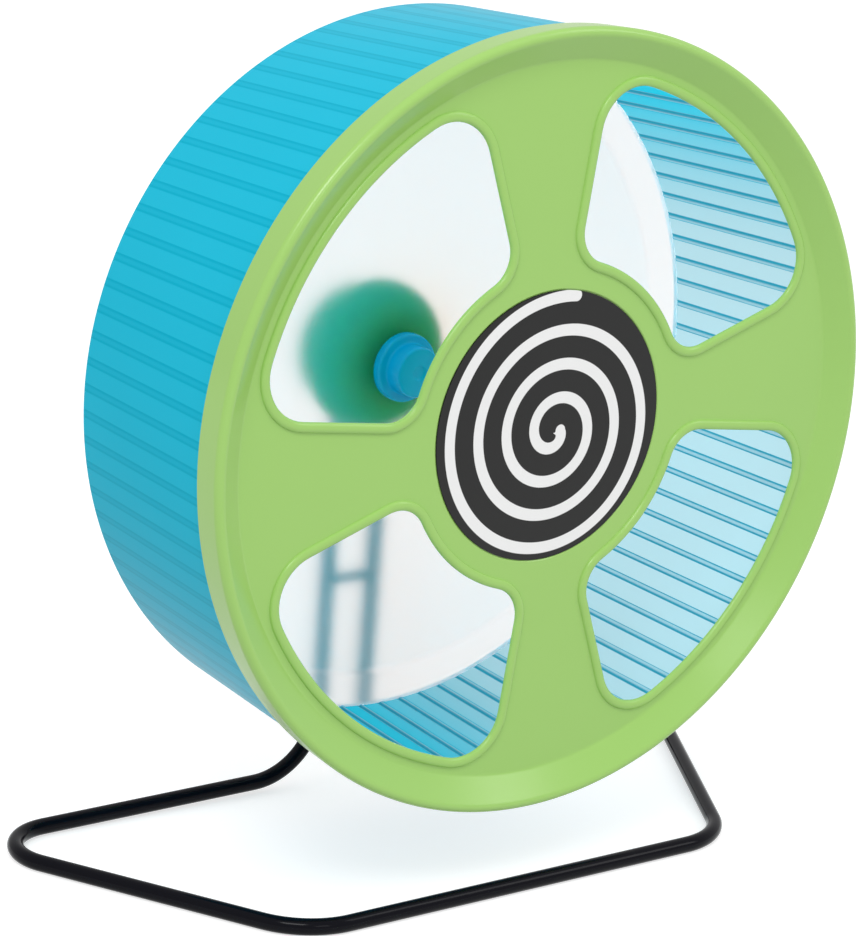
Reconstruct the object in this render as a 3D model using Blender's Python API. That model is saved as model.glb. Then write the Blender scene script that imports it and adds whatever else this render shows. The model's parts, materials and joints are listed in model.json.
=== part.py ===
"""Hamster wheel on a bent wire stand.

A ribbed running drum with a round back wall and a four-spoke front guard turns on a
bolt in two ball bearings, which sit in a housing clamped to the stand's two uprights.

Metres, +Z up. The axle runs along +Y and the guard faces -Y. The origin is under the
middle of the bounding box, on the surface that the stand rests on.
"""

import math

import bmesh
import bpy
from mathutils import Vector

# Fits
gap = 0.0003
fine_gap = 0.00012
overrun = 0.001

# Front guard. Depths run along the axle from the front face of its hub plate
rim_radius = 0.1403
rim_height = 0.0065
rim_draft = 0.0007
rim_round = 0.0022
rim_slope_width = 0.0110
guard_wall = 0.0022
skirt_wall = 0.0014
skirt_depth = 0.0071
guard_steps = 66

# Windows in the guard
window_count = 4
window_to_label = 0.0112
window_to_rim = 0.0181
window_half_angle = math.radians(31.8)
window_inner_round = 0.0121
window_outer_round = 0.0165
window_lip = 0.0014
window_edge = 0.0004
bead_width = 0.0036
bead_height = 0.0013
bead_top_share = 0.65

# Label
label_radius = 0.0485
label_thickness = 0.0004

# Running track
track_length = 0.0904
track_taper = 0.0042
track_wall = 0.0016
track_start = 0.0004
rib_count = 90
rib_width = 0.0024
rib_top_width = 0.0013
rib_height = 0.0012
rib_nose = 0.0014

# Back wall
wall_thickness = 0.0020
band_width = 0.0139
band_height = 0.0012
band_slope = 0.0010
wall_steps = 50

# Axle bolt, washers and lock nut
bolt_radius = 0.0029
hex_flats = 0.0100
bolt_head = 0.0040
washer_radius = 0.0062
washer_thickness = 0.0012
nut_height = 0.0055
bolt_end = 0.0012

# Cap over the bolt head
cap_base_radius = 0.0130
cap_base_depth = 0.0038
cap_wall = 0.0030
cap_front_wall = 0.0022
cap_room = 0.0034
cap_edge = 0.0009

# Ball bearings
bearing_radius = 0.0095
bearing_width = 0.0060
bearing_shoulder = 0.0015
ball_count = 7
ball_radius = 0.0016
race_land_share = 0.88
shield_thickness = 0.0003
shield_inset = 0.0002
cage_thickness = 0.0016
cage_back = 0.0021
cage_front = 0.0008
sleeve_wall = 0.0018

# Bearing housing and its cover
housing_to_wall = 0.0028
housing_lip = 0.0015
housing_mouth_room = 0.0010
housing_rim = 0.0054
housing_wall = 0.0022
housing_flare = 0.0045
housing_to_wire = 0.0008
seat_wall = 0.0022
cover_depth = 0.0094
cover_edge = 0.0016
housing_steps = 30

# Screws of the cover
screw_room = 0.0008
screw_angle = math.radians(25.0)
screw_radius = 0.0014
screw_length = 0.0140
screw_head_radius = 0.0024
screw_head = 0.0018
screw_post_radius = 0.0034
driver_slot_length = 0.0030
driver_slot_width = 0.0007
driver_slot_depth = 0.0009

# Stand, measured to the middle of the wire
wire_radius = 0.0030
wire_sides = 12
floor_clearance = 0.0311
rear_half_width = 0.1628
front_half_width = 0.0944
front_bar_depth = 0.0082
upright_room = 0.0017
upright_top = 0.0140
rear_bend = 0.0190
front_bend = 0.0300
foot_bend = 0.0280
foot_lift = 0.0016
upright_share = 0.01
wire_seat = 0.0004
crossbar_radius = 0.0019
crossbar_drop = 0.0890
clamp_width = 0.0050
clamp_reach = 0.0200

# How the wheel stands in the photo, seen from the front, anticlockwise
wheel_turn = math.radians(6.55)
rib_turn = math.radians(-0.45)

# Sizes that follow from the ones above
window_inner_radius = label_radius + window_to_label
window_outer_radius = rim_radius - window_to_rim
track_front_radius = rim_radius - rim_draft - skirt_wall - gap
track_rear_radius = track_front_radius - track_taper
cap_front_radius = washer_radius + gap + cap_wall
hex_radius = hex_flats / 2 / math.cos(math.pi / 6)
upright_half_spacing = hex_radius + upright_room + wire_radius
axle_height = rim_radius + floor_clearance
screw_across = upright_half_spacing + wire_radius + screw_room + screw_post_radius
screw_circle = screw_across / math.cos(screw_angle)
cover_radius = screw_circle + screw_post_radius + cover_edge
housing_radius = cover_radius + housing_flare
housing_nose_radius = bearing_radius + fine_gap + seat_wall + housing_wall

# Places along the axle, from the front face of the hub plate
wall_back = track_length
wall_front = wall_back - wall_thickness
washer_front = wall_front - gap - washer_thickness
head_front = washer_front - gap - bolt_head
cap_front = head_front - cap_room - cap_front_wall
housing_front = wall_back + housing_to_wall
front_bearing_start = housing_front + housing_lip + gap
front_bearing_end = front_bearing_start + bearing_width
rear_bearing_start = front_bearing_end + bearing_shoulder + 2 * gap
rear_bearing_end = rear_bearing_start + bearing_width
wire_depth = rear_bearing_end + wire_seat + wire_radius
nut_front = rear_bearing_end + gap + washer_thickness + gap
bolt_tip = nut_front + nut_height + bolt_end
cover_back = wire_depth + cover_depth

# The origin
depth_middle = (cover_back - front_bar_depth - wire_radius) / 2
label_plane = -depth_middle
axle = Vector((0, label_plane, axle_height))

bore_radius = bolt_radius + fine_gap
pitch_radius = (bore_radius + bearing_radius) / 2
race_radius = ball_radius + fine_gap


def make_look(name, colour, roughness, metallic=0.0, alpha=1.0):
    look = bpy.data.materials.new(name)
    look.use_nodes = True
    shader = look.node_tree.nodes["Principled BSDF"]
    shader.inputs["Base Color"].default_value = (*colour, 1.0)
    shader.inputs["Roughness"].default_value = roughness
    shader.inputs["Metallic"].default_value = metallic
    shader.inputs["Alpha"].default_value = alpha
    look.diffuse_color = (*colour, alpha)
    return look


def make_object(name, shape, look, parent=None, sharp=math.radians(32)):
    bmesh.ops.recalc_face_normals(shape, faces=shape.faces)
    mesh = bpy.data.meshes.new(name)
    shape.to_mesh(mesh)
    shape.free()
    mesh.shade_smooth()
    mesh.set_sharp_from_angle(angle=sharp)
    thing = bpy.data.objects.new(name, mesh)
    bpy.context.scene.collection.objects.link(thing)
    if look is not None:
        mesh.materials.append(look)
    if parent is not None:
        thing.parent = parent
    return thing


def make_helper(name, shape, parent):
    helper = make_object(name, shape, None, parent)
    helper.hide_render = True
    helper.display_type = "WIRE"
    return helper


def combine(target, helper, operation):
    step = target.modifiers.new(helper.name, "BOOLEAN")
    step.operation = operation
    step.solver = "EXACT"
    step.object = helper


def make_axis(name, turn):
    empty = bpy.data.objects.new(name, None)
    empty.location = axle
    empty.rotation_euler = (0, -turn, 0)
    empty.empty_display_size = label_radius
    bpy.context.scene.collection.objects.link(empty)
    return empty


def spin_profile(shape, profile, steps):
    """Turn (radius, depth) points round the axle; a chain that starts and ends on it stays open."""
    points = [shape.verts.new((radius, depth, 0)) for radius, depth in profile]
    edges = [shape.edges.new(pair) for pair in zip(points, points[1:])]
    if profile[0][0] > 0:
        edges.append(shape.edges.new((points[-1], points[0])))
    bmesh.ops.spin(
        shape,
        geom=points + edges,
        cent=(0, 0, 0),
        axis=(0, 1, 0),
        angle=math.tau,
        steps=steps,
        use_merge=True,
    )
    bmesh.ops.remove_doubles(shape, verts=shape.verts, dist=overrun / 1000)


def turned(name, profile, steps, look, parent):
    shape = bmesh.new()
    spin_profile(shape, profile, steps)
    return make_object(name, shape, look, parent)


def arc(centre, radii, start, end, steps):
    """Points on an ellipse about (radius, depth), from one angle to the other."""
    found = []
    for step in range(steps + 1):
        angle = start + (end - start) * step / steps
        found.append(
            (
                centre[0] + radii[0] * math.cos(angle),
                centre[1] + radii[1] * math.sin(angle),
            )
        )
    return found


def circle(radius, sides, middle=(0, 0), start=0.0):
    return [
        (
            middle[0] + radius * math.cos(start + math.tau * side / sides),
            middle[1] + radius * math.sin(start + math.tau * side / sides),
        )
        for side in range(sides)
    ]


def rectangle(half_width, half_height, middle=(0, 0)):
    corners = ((-1, -1), (1, -1), (1, 1), (-1, 1))
    return [(middle[0] + x * half_width, middle[1] + z * half_height) for x, z in corners]


def join_rings(shape, rings, closed):
    """Faces between rings of (x, depth, z) points, with flat ends unless the rings close on themselves."""
    rows = [[shape.verts.new(point) for point in ring] for ring in rings]
    pairs = list(zip(rows, rows[1:]))
    if closed:
        pairs.append((rows[-1], rows[0]))
    else:
        shape.faces.new(list(reversed(rows[0])))
        shape.faces.new(rows[-1])
    for first, second in pairs:
        for side in range(len(first)):
            after = (side + 1) % len(first)
            shape.faces.new((first[side], first[after], second[after], second[side]))


def add_prism(shape, outline, start, end):
    join_rings(shape, [[(x, depth, z) for x, z in outline] for depth in (start, end)], False)


def window_outline(turn, grow):
    """The rounded outline of a window, widened by grow all round, with the same number of points each time."""
    inner = window_inner_radius - grow
    outer = window_outer_radius + grow
    inner_round = window_inner_round + grow
    outer_round = window_outer_round + grow
    along = Vector((math.cos(window_half_angle), math.sin(window_half_angle)))
    across = Vector((-along.y, along.x))

    def corner(distance, inset):
        return along * math.sqrt(distance**2 - inset**2) + across * inset

    outer_centre = corner(outer - outer_round, grow - outer_round)
    inner_centre = corner(inner + inner_round, grow - inner_round)
    outer_angle = math.atan2(outer_centre.y, outer_centre.x)
    inner_angle = math.atan2(inner_centre.y, inner_centre.x)
    side_angle = window_half_angle + math.pi / 2
    half = arc((0, 0), (outer, outer), 0, outer_angle, 7)
    half += arc(outer_centre, (outer_round,) * 2, outer_angle, side_angle, 5)[1:]
    half += arc(inner_centre, (inner_round,) * 2, side_angle, inner_angle + math.pi, 4)
    half += arc((0, 0), (inner, inner), inner_angle, 0, 4)[1:]
    whole = half + [(x, -z) for x, z in reversed(half[1:-1])]
    cosine = math.cos(turn)
    sine = math.sin(turn)
    return [(x * cosine - z * sine, x * sine + z * cosine) for x, z in whole]


def window_turns():
    return [math.tau * (window + 0.5) / window_count for window in range(window_count)]


def make_guard(look, parent):
    crest_radius = rim_radius - rim_round
    slope_start = crest_radius - rim_slope_width
    skirt_rear = rim_radius - rim_draft
    recess_radius = label_radius + gap
    recess_depth = label_thickness + gap
    # The inner line of the rim follows the outer one at the wall's thickness
    slope = math.atan2(rim_height, rim_slope_width)
    slope_shift = guard_wall * math.tan(slope / 2)
    inner_crest = crest_radius + slope_shift
    profile = [
        (0, recess_depth),
        (recess_radius, recess_depth),
        (recess_radius, 0),
        (slope_start, 0),
        (crest_radius - rim_round / 2, -rim_height + rim_round / 8),
    ]
    profile += arc(
        (crest_radius, -rim_height + rim_round), (rim_round,) * 2, -math.pi / 2, 0, 3
    )
    profile += [
        (skirt_rear, skirt_depth),
        (skirt_rear - skirt_wall, skirt_depth),
        (rim_radius - rim_draft - skirt_wall, -rim_height + rim_round + guard_wall),
        (inner_crest - guard_wall, -rim_height + rim_round + guard_wall / 2),
        (slope_start + slope_shift, guard_wall),
        (0, guard_wall),
    ]
    guard = turned("front_guard", profile, guard_steps, look, parent)

    openings = bmesh.new()
    for turn in window_turns():
        outline = window_outline(turn, window_lip)
        add_prism(openings, outline, -rim_height, guard_wall + overrun)
    combine(guard, make_helper("window_openings", openings, parent), "DIFFERENCE")

    bead = [
        (0, window_edge),
        (0, -bead_height / 2),
        (bead_width / 4, -bead_height),
        (bead_width * bead_top_share, -bead_height),
        (bead_width, guard_wall / 4),
        (bead_width - window_lip / 2, guard_wall - bead_height / 2),
    ]
    beads = bmesh.new()
    for turn in window_turns():
        rings = [
            [(x, depth, z) for x, z in window_outline(turn, grow)] for grow, depth in bead
        ]
        join_rings(beads, rings, True)
    combine(guard, make_helper("window_beads", beads, parent), "UNION")


def make_label(look, parent):
    profile = [(0, 0), (label_radius, 0), (label_radius, label_thickness), (0, label_thickness)]
    turned("hub_label", profile, wall_steps, look, parent)


def track_radius(depth):
    share = (depth - track_start) / (track_length - track_start)
    return track_front_radius + (track_rear_radius - track_front_radius) * share


def track_inside(depth):
    return track_radius(depth) - track_wall


def make_track(look, parent):
    rib_end = wall_front - band_height - gap

    def row(radius, depth, sides):
        rings = []
        for rib in range(rib_count):
            middle = rib_turn + math.tau * rib / rib_count
            ring = []
            for width, raised in sides:
                angle = middle + width / 2 / track_rear_radius
                reach = radius - raised
                point = (reach * math.cos(angle), depth, reach * math.sin(angle))
                ring.append(shape.verts.new(point))
            rings.append(ring)
        return rings

    def join_rows(first, second):
        """Faces between two rows, each with two points a rib, or four where the rib stands up."""
        for rib in range(rib_count):
            after = (rib + 1) % rib_count
            one, other = first[rib], second[rib]
            shape.faces.new((one[-1], first[after][0], second[after][0], other[-1]))
            if len(one) == len(other):
                for side in range(len(one) - 1):
                    shape.faces.new((one[side], one[side + 1], other[side + 1], other[side]))
                continue
            ribbed, plain = (one, other) if len(one) > len(other) else (other, one)
            shape.faces.new((ribbed[0], ribbed[1], plain[0]))
            shape.faces.new((ribbed[1], ribbed[2], plain[1], plain[0]))
            shape.faces.new((ribbed[2], ribbed[3], plain[1]))

    shape = bmesh.new()
    plain = ((-rib_width, 0), (rib_width, 0))
    ribbed = (
        (-rib_width, 0),
        (-rib_top_width, rib_height),
        (rib_top_width, rib_height),
        (rib_width, 0),
    )
    rows = [
        row(track_radius(track_start), track_start, plain),
        row(track_radius(track_length), track_length, plain),
        row(track_inside(track_length), track_length, plain),
        row(track_inside(rib_end), rib_end, plain),
        row(track_inside(rib_end - rib_nose), rib_end - rib_nose, ribbed),
        row(track_inside(track_start), track_start, ribbed),
    ]
    for first, second in zip(rows, rows[1:] + rows[:1]):
        join_rows(first, second)
    make_object("running_track", shape, look, parent)


def make_wall(look, parent):
    band_front = wall_front - band_height
    band_inner = track_inside(wall_front) - band_width
    profile = [
        (bolt_radius + gap, wall_front),
        (band_inner, wall_front),
        (band_inner + band_slope, band_front),
        (track_inside(band_front) - gap, band_front),
        (track_inside(wall_back) - gap, wall_back),
        (bolt_radius + gap, wall_back),
    ]
    turned("back_wall", profile, wall_steps, look, parent)


def make_cap(look, parent):
    cavity_radius = washer_radius + gap
    base_end = wall_front - gap
    base_front = base_end - cap_base_depth
    profile = [(0, cap_front), (cap_front_radius - cap_edge, cap_front)]
    profile += arc(
        (cap_front_radius - cap_edge, cap_front + cap_edge),
        (cap_edge,) * 2,
        -math.pi / 2,
        0,
        3,
    )[1:]
    profile += [
        (cap_front_radius, base_front - cap_edge / 2),
        (cap_front_radius + cap_edge / 3, base_front),
        (cap_base_radius - cap_edge, base_front),
        (cap_base_radius, base_front + cap_edge),
        (cap_base_radius, base_end),
        (cavity_radius, base_end),
        (cavity_radius, cap_front + cap_front_wall),
        (0, cap_front + cap_front_wall),
    ]
    turned("hub_cap", profile, 20, look, parent)


def hexagon():
    return circle(hex_radius, 6, start=math.pi / 6)


def make_bolt(look, parent):
    shank_sides = 24
    shape = bmesh.new()
    add_prism(shape, circle(bolt_radius, shank_sides), washer_front - gap - bolt_head / 2, bolt_tip)
    bolt = make_object("axle_bolt", shape, look, parent)
    head = bmesh.new()
    add_prism(head, hexagon(), head_front, washer_front - gap)
    combine(bolt, make_helper("bolt_head", head, parent), "UNION")


def make_ring(name, inner, outer, start, end, look, parent, steps=24):
    profile = [(inner, start), (outer, start), (outer, end), (inner, end)]
    return turned(name, profile, steps, look, parent)


def make_nut(look, parent):
    shape = bmesh.new()
    add_prism(shape, hexagon(), nut_front, nut_front + nut_height)
    nut = make_object("lock_nut", shape, look, parent)
    bore = bmesh.new()
    add_prism(
        bore, circle(bolt_radius + gap, 24), nut_front - overrun, nut_front + nut_height + overrun
    )
    combine(nut, make_helper("nut_bore", bore, parent), "DIFFERENCE")


def race(side, middle):
    """The groove that the balls run in: side 1 for the outer ring, -1 for the inner one."""
    half = math.acos(race_land_share)
    if side > 0:
        return arc((pitch_radius, middle), (race_radius,) * 2, half, -half, 4)
    return arc((pitch_radius, middle), (race_radius,) * 2, math.pi + half, math.pi - half, 4)


def make_bearing(prefix, start, looks, fixed, turning, cage_axis):
    end = start + bearing_width
    middle = (start + end) / 2
    ring_steps = 18
    outer = [(bearing_radius, start), (bearing_radius, end)]
    outer += [(pitch_radius + race_radius * race_land_share, end)]
    outer += race(1, middle)
    outer += [(pitch_radius + race_radius * race_land_share, start)]
    turned(prefix + "_outer_ring", outer, ring_steps, looks["steel"], fixed)
    inner = [(bore_radius, end), (bore_radius, start)]
    inner += [(pitch_radius - race_radius * race_land_share, start)]
    inner += race(-1, middle)
    inner += [(pitch_radius - race_radius * race_land_share, end)]
    turned(prefix + "_inner_ring", inner, ring_steps, looks["steel"], turning)

    land = race_radius * race_land_share
    shield_inner = pitch_radius - land + gap
    shield_outer = pitch_radius + land - fine_gap
    near = start + shield_inset
    far = end - shield_inset - shield_thickness
    for side, place in (("front", near), ("back", far)):
        make_ring(
            prefix + "_shield_" + side,
            shield_inner,
            shield_outer,
            place,
            place + shield_thickness,
            looks["steel"],
            fixed,
            ring_steps,
        )

    cage = make_ring(
        prefix + "_cage",
        pitch_radius - cage_thickness / 2,
        pitch_radius + cage_thickness / 2,
        middle - cage_front,
        middle + cage_back,
        looks["cage"],
        cage_axis,
        ring_steps,
    )
    pockets = bmesh.new()
    for ball in range(ball_count):
        angle = math.tau * ball / ball_count
        out = Vector((math.cos(angle), 0, math.sin(angle)))
        beside = Vector((-out.z, 0, out.x))
        depthwise = Vector((0, 1, 0))
        rings = []
        for reach in (pitch_radius - cage_thickness, pitch_radius + cage_thickness):
            rings.append(
                [
                    out * reach + beside * x + depthwise * (middle + y)
                    for x, y in circle(ball_radius + fine_gap, 12)
                ]
            )
        join_rings(pockets, rings, False)
        ball_shape = bmesh.new()
        bmesh.ops.create_icosphere(ball_shape, subdivisions=2, radius=ball_radius)
        bmesh.ops.translate(
            ball_shape, verts=ball_shape.verts, vec=out * pitch_radius + depthwise * middle
        )
        name = "%s_ball_%d" % (prefix, ball + 1)
        make_object(name, ball_shape, looks["steel"], cage_axis, math.radians(60))
    combine(cage, make_helper(prefix + "_cage_pockets", pockets, cage_axis), "DIFFERENCE")


def screw_places():
    return [
        (side * screw_circle * math.cos(screw_angle), level * screw_circle * math.sin(screw_angle))
        for side in (-1, 1)
        for level in (-1, 1)
    ]


def wire_channels(parent, name):
    """Room for the two uprights between the housing and its cover."""
    shape = bmesh.new()
    for side in (-1, 1):
        rings = []
        for height in (-housing_radius - overrun, upright_top + gap):
            rings.append(
                [
                    (side * upright_half_spacing + x, wire_depth + y, height)
                    for x, y in circle(
                        (wire_radius + gap) / math.cos(math.pi / wire_sides),
                        wire_sides,
                        start=math.pi / wire_sides,
                    )
                ]
            )
        join_rings(shape, rings, False)
    return make_helper(name, shape, parent)


def make_housing(look, parent):
    parting = wire_depth - gap / 2
    bowl_end = parting - housing_rim
    seat_radius = bearing_radius + fine_gap
    tube_radius = seat_radius + seat_wall
    mouth_radius = bolt_radius + sleeve_wall + housing_mouth_room
    shoulder_radius = pitch_radius + race_radius * race_land_share
    bowl_depth = bowl_end - housing_front
    inner_radius = cover_radius - housing_wall
    # The bowl's skirt stands free of the collar that the cover closes
    skirt_end = wire_depth - wire_radius - gap - housing_to_wire
    skirt_radii = (housing_radius - housing_wall - housing_nose_radius, bowl_depth - housing_wall)
    collar_share = (cover_radius - housing_nose_radius) / skirt_radii[0]
    profile = [
        (mouth_radius, housing_front),
        *arc(
            (housing_nose_radius, bowl_end),
            (housing_radius - housing_nose_radius, bowl_depth),
            -math.pi / 2,
            0,
            5,
        ),
        (housing_radius, skirt_end),
        (housing_radius - housing_wall, skirt_end),
        *arc((housing_nose_radius, bowl_end), skirt_radii, 0, -math.acos(collar_share), 2),
        (cover_radius, parting),
        (inner_radius, parting),
        *arc(
            (tube_radius, bowl_end),
            (inner_radius - tube_radius, bowl_depth - housing_wall * 2),
            0,
            -math.pi / 2,
            4,
        ),
        (tube_radius, rear_bearing_end),
        (seat_radius, rear_bearing_end),
        (seat_radius, rear_bearing_start - gap),
        (shoulder_radius, rear_bearing_start - gap),
        (shoulder_radius, front_bearing_end + gap),
        (seat_radius, front_bearing_end + gap),
        (seat_radius, front_bearing_start - gap),
        (mouth_radius, front_bearing_start - gap),
    ]
    housing = turned("bearing_housing", profile, housing_steps, look, parent)
    posts = bmesh.new()
    for x, z in screw_places():
        start = bowl_end - bowl_depth / 2
        add_prism(posts, circle(screw_post_radius, 16, (x, z)), start, parting - fine_gap)
    combine(housing, make_helper("housing_posts", posts, parent), "UNION")
    combine(housing, wire_channels(parent, "housing_channels"), "DIFFERENCE")
    pilots = bmesh.new()
    for x, z in screw_places():
        pilot_end = cover_back - screw_head - screw_length - overrun
        add_prism(pilots, circle(screw_radius + gap, 12, (x, z)), pilot_end, parting + overrun)
    combine(housing, make_helper("housing_pilots", pilots, parent), "DIFFERENCE")


def make_cover(look, parent):
    parting = wire_depth + gap / 2
    inner_radius = cover_radius - housing_wall
    plate_inside = cover_back - housing_wall
    profile = [
        (0, plate_inside),
        (inner_radius - cover_edge / 2, plate_inside),
        (inner_radius, plate_inside - cover_edge / 2),
        (inner_radius, parting),
        (cover_radius, parting),
        *arc(
            (cover_radius - cover_edge, cover_back - cover_edge),
            (cover_edge,) * 2,
            0,
            math.pi / 2,
            3,
        ),
        (0, cover_back),
    ]
    cover = turned("housing_cover", profile, housing_steps, look, parent)
    inside = bmesh.new()
    for x, z in screw_places():
        end = cover_back - housing_wall / 2
        add_prism(inside, circle(screw_post_radius, 16, (x, z)), parting + fine_gap, end)
    for side in (-1, 1):
        outline = rectangle(clamp_width / 2, clamp_reach / 2, (side * upright_half_spacing, 0))
        clamp_start = wire_depth + wire_radius + gap
        add_prism(inside, outline, clamp_start, cover_back - housing_wall / 2)
    combine(cover, make_helper("cover_posts", inside, parent), "UNION")
    combine(cover, wire_channels(parent, "cover_channels"), "DIFFERENCE")
    holes = bmesh.new()
    for x, z in screw_places():
        spin_screw(holes, gap, overrun, (x, z), parting - overrun)
    combine(cover, make_helper("cover_holes", holes, parent), "DIFFERENCE")


def spin_screw(shape, room, past, middle, tip):
    """A screw's own outline, or with some room round it the hole that it goes in."""
    neck = cover_back - screw_head
    steps = (
        (screw_radius + room, tip),
        (screw_radius + room, neck - room),
        (screw_head_radius + room, neck - room),
        (screw_head_radius + room, cover_back + past),
    )
    rings = [
        [(x, depth, z) for x, z in circle(radius, 16, middle)] for radius, depth in steps
    ]
    join_rings(shape, rings, False)


def make_screws(look, parent):
    for number, (x, z) in enumerate(screw_places(), 1):
        shape = bmesh.new()
        tip = cover_back - screw_head - screw_length
        spin_screw(shape, 0, 0, (x, z), tip)
        screw = make_object("cover_screw_%d" % number, shape, look, parent)
        slots = bmesh.new()
        half_width = driver_slot_width / 2
        half_length = driver_slot_length / 2
        cross = [
            (-half_length, -half_width),
            (-half_width, -half_width),
            (-half_width, -half_length),
            (half_width, -half_length),
            (half_width, -half_width),
            (half_length, -half_width),
            (half_length, half_width),
            (half_width, half_width),
            (half_width, half_length),
            (-half_width, half_length),
            (-half_width, half_width),
            (-half_length, half_width),
        ]
        outline = [(x + across, z + up) for across, up in cross]
        add_prism(slots, outline, cover_back - driver_slot_depth, cover_back + overrun)
        combine(screw, make_helper("driver_slot_%d" % number, slots, parent), "DIFFERENCE")


def rounded_path(corners, bends, steps):
    """The wire's middle line: straight runs joined by round bends of the given radii."""
    points = [corners[0]]
    for before, corner, after, bend in zip(corners, corners[1:], corners[2:], bends):
        into = (before - corner).normalized()
        out = (after - corner).normalized()
        half = into.angle(out) / 2
        centre = corner + (into + out).normalized() * bend / math.sin(half)
        start = corner + into * bend / math.tan(half)
        end = corner + out * bend / math.tan(half)
        first = start - centre
        last = end - centre
        sweep = first.angle(last)
        for step in range(steps + 1):
            angle = sweep * step / steps
            points.append(
                centre
                + (first * math.sin(sweep - angle) + last * math.sin(angle)) / math.sin(sweep)
            )
    points.append(corners[-1])
    return points


def make_stand_wire(look):
    low = wire_radius
    rear = label_plane + wire_depth
    front = label_plane - front_bar_depth
    top = axle_height + upright_top
    half = [
        Vector((upright_half_spacing, rear, top)),
        Vector((upright_half_spacing, rear, low + foot_lift)),
        Vector((rear_half_width, rear, low)),
        Vector((front_half_width, front, low)),
    ]
    corners = half + [Vector((-point.x, point.y, point.z)) for point in reversed(half)]
    bends = (foot_bend, rear_bend, front_bend, front_bend, rear_bend, foot_bend)
    path = rounded_path(corners, bends, 7)
    reach = wire_radius / math.cos(math.pi / wire_sides)
    along = (path[1] - path[0]).normalized()
    side = Vector((0, 1, 0))
    rings = []
    for place, point in enumerate(path):
        before = path[max(place - 1, 0)]
        after = path[min(place + 1, len(path) - 1)]
        inward = (point - before).normalized() if place else along
        outward = (after - point).normalized() if place < len(path) - 1 else inward
        middle = (inward + outward).normalized()
        # A level section gives the bars a flat strip to rest on
        level = Vector((0, 0, 1)).cross(middle)
        if level.length > upright_share:
            side = level.normalized()
        up = middle.cross(side)
        rings.append(
            [
                point + side * x + up * y
                for x, y in circle(reach, wire_sides, start=math.pi / wire_sides)
            ]
        )
    shape = bmesh.new()
    join_rings(shape, rings, False)
    make_object("stand_wire", shape, look)


def make_crossbar(look):
    end = upright_half_spacing - wire_radius - gap
    rear = label_plane + wire_depth
    level = axle_height - crossbar_drop
    shape = bmesh.new()
    rings = [
        [(x, rear + y, level + z) for y, z in circle(crossbar_radius, wire_sides)]
        for x in (-end, end)
    ]
    join_rings(shape, rings, False)
    make_object("stand_crossbar", shape, look)


def main():
    for thing in list(bpy.data.objects):
        bpy.data.objects.remove(thing)
    looks = {
        "guard": make_look("green_plastic", (0.33, 0.61, 0.14), 0.28),
        "label": make_look("printed_label", (0.02, 0.02, 0.02), 0.40),
        "track": make_look("blue_clear_plastic", (0.10, 0.55, 0.75), 0.20, alpha=0.75),
        "wall": make_look("frosted_plastic", (0.75, 0.90, 0.96), 0.35, alpha=0.6),
        "cap": make_look("blue_plastic", (0.0, 0.25, 0.60), 0.30),
        "wire": make_look("black_coated_wire", (0.015, 0.015, 0.018), 0.18),
        "steel": make_look("bearing_steel", (0.60, 0.60, 0.62), 0.22, 1.0),
        "zinc": make_look("zinc_plated_steel", (0.68, 0.69, 0.70), 0.30, 1.0),
        "cage": make_look("cage_plastic", (0.75, 0.73, 0.66), 0.45),
    }
    turning = make_axis("wheel_axis", wheel_turn)
    fixed = make_axis("housing_axis", 0)
    front_cage_axis = make_axis("front_cage_axis", 0)
    rear_cage_axis = make_axis("rear_cage_axis", 0)

    make_guard(looks["guard"], turning)
    make_label(looks["label"], turning)
    make_track(looks["track"], turning)
    make_wall(looks["wall"], turning)
    make_cap(looks["cap"], turning)
    make_bolt(looks["zinc"], turning)
    make_ring(
        "front_washer",
        bolt_radius + fine_gap,
        washer_radius,
        washer_front,
        wall_front - gap,
        looks["zinc"],
        turning,
    )
    sleeve_radius = bolt_radius + sleeve_wall
    make_ring(
        "hub_sleeve",
        bolt_radius + fine_gap,
        sleeve_radius,
        wall_back + gap,
        front_bearing_start - gap,
        looks["steel"],
        turning,
    )
    make_bearing("front_bearing", front_bearing_start, looks, fixed, turning, front_cage_axis)
    make_ring(
        "bearing_spacer",
        bolt_radius + fine_gap,
        sleeve_radius,
        front_bearing_end + gap,
        rear_bearing_start - gap,
        looks["steel"],
        turning,
    )
    make_bearing("rear_bearing", rear_bearing_start, looks, fixed, turning, rear_cage_axis)
    make_ring(
        "rear_washer",
        bolt_radius + fine_gap,
        washer_radius,
        rear_bearing_end + gap,
        rear_bearing_end + gap + washer_thickness,
        looks["zinc"],
        turning,
    )
    make_nut(looks["zinc"], turning)
    make_housing(looks["guard"], fixed)
    make_cover(looks["guard"], fixed)
    make_screws(looks["zinc"], fixed)
    make_stand_wire(looks["wire"])
    make_crossbar(looks["wire"])


main()
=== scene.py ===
"""Hamster wheel: the fine shapes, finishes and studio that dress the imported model."""

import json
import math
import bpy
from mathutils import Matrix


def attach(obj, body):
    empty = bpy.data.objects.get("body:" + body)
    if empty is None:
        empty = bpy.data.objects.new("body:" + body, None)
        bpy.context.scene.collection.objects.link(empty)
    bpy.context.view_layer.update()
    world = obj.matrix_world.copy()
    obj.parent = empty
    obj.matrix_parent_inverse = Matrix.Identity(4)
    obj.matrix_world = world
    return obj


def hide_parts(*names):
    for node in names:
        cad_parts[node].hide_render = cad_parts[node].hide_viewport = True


bl_info = {
    "name": "Hamster Wheel",
    "version": (1, 0, 0),
    "blender": (4, 5, 0),
    "location": "3D View > Sidebar > Hamster Wheel",
    "description": "Dresses the running wheel, its bearing housing and its wire stand",
    "category": "Add Mesh",
}

from functools import partial

import bmesh
import bpy
from bpy.props import FloatProperty, FloatVectorProperty, IntProperty, PointerProperty
from mathutils import Vector

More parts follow.
